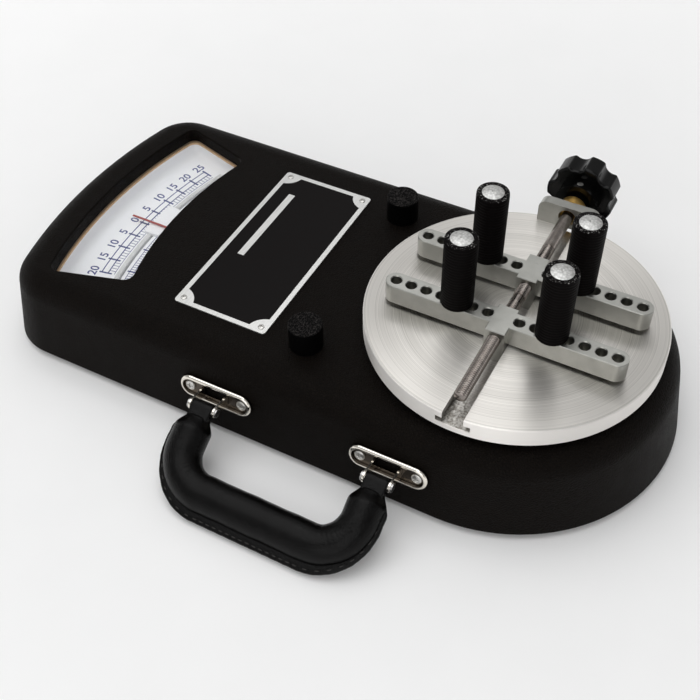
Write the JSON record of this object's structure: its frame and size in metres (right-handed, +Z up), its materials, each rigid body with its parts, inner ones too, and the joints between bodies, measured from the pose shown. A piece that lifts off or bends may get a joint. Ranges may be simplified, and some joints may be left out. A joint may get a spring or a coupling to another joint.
{
  "type": "spring torque tester",
  "caption": "Bench torque tester: low black case with a dial window and carrying handle, and a sprung turntable whose screw-driven jaws hold a bottle between ribbed posts.",
  "frame": {"origin": "on the surface that the feet stand on, under the centre of the object's bounding box", "axes": "+Z up; +X along the length of the case, from the dial end to the turntable end; the carrying handle is on the -Y side and the star knob on the +Y side"},
  "size_m": [0.433, 0.2928, 0.1396],
  "materials": {
    "case_black": "fine leather grain, satin",
    "base_black": "satin black paint",
    "foot_rubber": "matt",
    "screw_steel": "plated",
    "pane_clear": "clear",
    "gasket_cork": "matt cork",
    "dial_white": "satin white",
    "scale_print": "white with blue printing",
    "plate_print": "black field with a bare metal border",
    "cap_black": "smooth side, rough top",
    "machined_steel": "turned",
    "disc_aluminium": "lathe turned",
    "cast_aluminium": "cast",
    "needle_red": "gloss red",
    "spring_steel": "bright wire",
    "bush_brass": "turned",
    "knob_black": "gloss",
    "bar_zinc": "zinc plated",
    "sleeve_rubber": "ribbed hose",
    "bracket_chrome": "polished",
    "handle_leather": "grained, stitched"
  },
  "bodies": {
    "case": {"case_shell": "case_black", "base_plate": "base_black", "base_screws": "screw_steel", "feet": "foot_rubber", "foot_screws": "screw_steel", "window_pane": "pane_clear", "window_gasket": "gasket_cork", "dial_tray": "dial_white", "dial_screws": "screw_steel", "main_scale": "scale_print", "inner_scale": "scale_print", "zero_bridge": "dial_white", "nameplate": "plate_print", "nameplate_screws": "screw_steel", "spring_anchors": "machined_steel", "front_cap": "cap_black", "rear_cap": "cap_black", "bearing_housing": "cast_aluminium", "housing_screws": "screw_steel", "upper_bearing": "machined_steel", "lower_bearing": "machined_steel", "front_spring": "spring_steel", "rear_spring": "spring_steel", "left_bracket": "bracket_chrome", "right_bracket": "bracket_chrome", "hinge_pins": "machined_steel", "bracket_screws": "bracket_chrome"},
    "platform": {"platform_disc": "disc_aluminium", "spindle": "machined_steel", "platform_screws": "screw_steel", "spindle_nut": "screw_steel", "pointer_arm": "cast_aluminium", "needle": "needle_red", "needle_rivets": "screw_steel", "spring_pins": "machined_steel", "screw_upright": "bar_zinc", "upright_screws": "screw_steel", "leadscrew_bush": "bush_brass"},
    "leadscrew": {"leadscrew": "machined_steel", "star_knob": "knob_black", "knob_set_screw": "screw_steel"},
    "front_jaw": {"front_jaw_bar": "bar_zinc", "front_jaw_foot": "bar_zinc", "front_jaw_screws": "screw_steel"},
    "rear_jaw": {"rear_jaw_bar": "bar_zinc", "rear_jaw_foot": "bar_zinc", "rear_jaw_screws": "screw_steel"},
    "front_left_post": {"front_left_rod": "machined_steel", "front_left_sleeve": "sleeve_rubber"},
    "front_right_post": {"front_right_rod": "machined_steel", "front_right_sleeve": "sleeve_rubber"},
    "rear_left_post": {"rear_left_rod": "machined_steel", "rear_left_sleeve": "sleeve_rubber"},
    "rear_right_post": {"rear_right_rod": "machined_steel", "rear_right_sleeve": "sleeve_rubber"},
    "handle": {"handle_tabs": "handle_leather", "handle_grip": "handle_leather"}
  },
  "joints": [
    {"name": "platform_turn", "type": "hinge", "parent": "case", "child": "platform", "pos_m": [0.11, 0.02648, 0.06], "axis": [0, 0, 1], "range_deg": [-14.5, 14.5], "stiffness_Nm_per_rad": 11.56, "deforming": ["front_spring", "rear_spring"]},
    {"name": "leadscrew_turn", "type": "hinge", "parent": "platform", "child": "leadscrew", "pos_m": [0.11, 0.12148, 0.0846], "axis": [0, 1, 0], "range_deg": [-2530, 11535]},
    {"name": "front_jaw_slide", "type": "slide", "parent": "platform", "child": "front_jaw", "axis": [0, -1, 0], "range_m": [-0.0099, 0.0452]},
    {"name": "rear_jaw_slide", "type": "slide", "parent": "platform", "child": "rear_jaw", "axis": [0, 1, 0], "range_m": [-0.0099, 0.0452]},
    {"name": "front_left_post_lift", "type": "slide", "parent": "front_jaw", "child": "front_left_post", "axis": [0, 0, 1], "range_m": [0, 0.04]},
    {"name": "front_right_post_lift", "type": "slide", "parent": "front_jaw", "child": "front_right_post", "axis": [0, 0, 1], "range_m": [0, 0.04]},
    {"name": "rear_left_post_lift", "type": "slide", "parent": "rear_jaw", "child": "rear_left_post", "axis": [0, 0, 1], "range_m": [0, 0.04]},
    {"name": "rear_right_post_lift", "type": "slide", "parent": "rear_jaw", "child": "rear_right_post", "axis": [0, 0, 1], "range_m": [0, 0.04]},
    {"name": "handle_swing", "type": "hinge", "parent": "case", "child": "handle", "pos_m": [0.0218, -0.09043, 0.03315], "axis": [-1, 0, 0], "range_deg": [0, 100]}
  ],
  "couplings": [
    {"joint": "leadscrew_turn", "follows": "front_jaw_slide", "rad_per_m": 4452.7},
    {"joint": "rear_jaw_slide", "follows": "front_jaw_slide", "ratio": 1}
  ]
}
